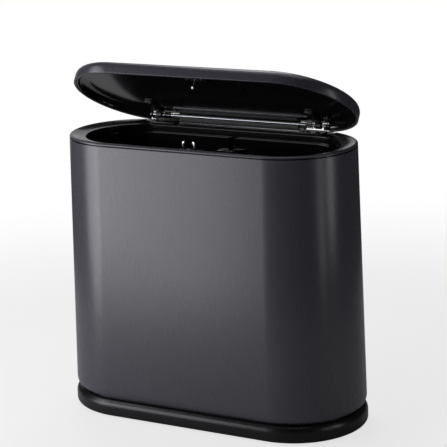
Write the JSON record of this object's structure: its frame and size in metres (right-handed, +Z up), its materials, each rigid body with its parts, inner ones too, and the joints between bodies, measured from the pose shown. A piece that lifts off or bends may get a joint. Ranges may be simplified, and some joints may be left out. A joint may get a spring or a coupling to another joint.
{
  "type": "push top countertop bin",
  "caption": "Slim stadium-plan countertop bin with a push-latched sprung lid, collar, steel hinge rod, bulged foot and removable inner bucket.",
  "frame": {"origin": "middle of the bin's foot on the surface it stands on", "axes": "+X to the bin's right seen from the front along its width, +Y to the hinge side at the back, +Z up"},
  "size_m": [0.3128, 0.141, 0.3528],
  "materials": {
    "body_plastic": "satin charcoal moulding with fine texture",
    "foot_plastic": "black moulding, semi-gloss",
    "inner_plastic": "gloss black moulding",
    "hinge_plastic": "black nylon moulding",
    "bright_steel": "bright drawn steel",
    "zinc_screw": "zinc plated",
    "dark_steel": "black oxide on steel",
    "rubber_foot": "matte black rubber"
  },
  "bodies": {
    "shell": {"outer_shell": "body_plastic", "base_plinth": "foot_plastic", "foot_pads": "rubber_foot", "base_screws": "zinc_screw"},
    "bucket": {"inner_bucket": "inner_plastic"},
    "collar": {"rim_collar": "body_plastic", "hinge_bracket_left": "hinge_plastic", "hinge_bracket_right": "hinge_plastic", "bracket_screws": "dark_steel", "hinge_rod": "bright_steel", "rod_clips": "zinc_screw", "torsion_spring_left": "dark_steel", "torsion_spring_right": "dark_steel", "latch_housing": "hinge_plastic", "latch_cover": "hinge_plastic", "latch_screws": "zinc_screw", "latch_spring": "bright_steel", "jaw_pins": "zinc_screw"},
    "lid": {"lid_shell": "body_plastic", "lid_liner": "inner_plastic", "hinge_arm_left": "hinge_plastic", "hinge_arm_right": "hinge_plastic", "arm_screws": "dark_steel", "lid_striker": "bright_steel", "striker_screws": "dark_steel"},
    "plunger": {"latch_plunger": "zinc_screw"},
    "jaw_left": {"latch_jaw_left": "bright_steel"},
    "jaw_right": {"latch_jaw_right": "bright_steel"}
  },
  "joints": [
    {"name": "collar_lift", "type": "slide", "parent": "shell", "child": "collar", "axis": [0, 0, 1], "range_m": [0, 0.06]},
    {"name": "bucket_lift", "type": "slide", "parent": "shell", "child": "bucket", "axis": [0, 0, 1], "range_m": [0, 0.012]},
    {"name": "lid_hinge", "type": "hinge", "parent": "collar", "child": "lid", "pos_m": [0, 0.057, 0.2838], "axis": [-1, 0, 0], "range_deg": [-32.5, 45], "stiffness_Nm_per_rad": 0.35, "springref_deg": 12.61, "deforming": ["torsion_spring_left", "torsion_spring_right"]},
    {"name": "plunger_press", "type": "slide", "parent": "collar", "child": "plunger", "axis": [0, 0, -1], "range_m": [0, 0.002], "stiffness_N_per_m": 100, "springref_m": -0.002, "deforming": ["latch_spring"]},
    {"name": "jaw_left_swing", "type": "hinge", "parent": "collar", "child": "jaw_left", "pos_m": [-0.0052, -0.0415, 0.268], "axis": [0, 1, 0], "range_deg": [0, 11.01]},
    {"name": "jaw_right_swing", "type": "hinge", "parent": "collar", "child": "jaw_right", "pos_m": [0.0052, -0.0415, 0.268], "axis": [0, -1, 0], "range_deg": [0, 11.01]}
  ],
  "couplings": [
    {"joint": "jaw_left_swing", "follows": "plunger_press", "rad_per_m": 96},
    {"joint": "jaw_right_swing", "follows": "plunger_press", "rad_per_m": 96}
  ]
}
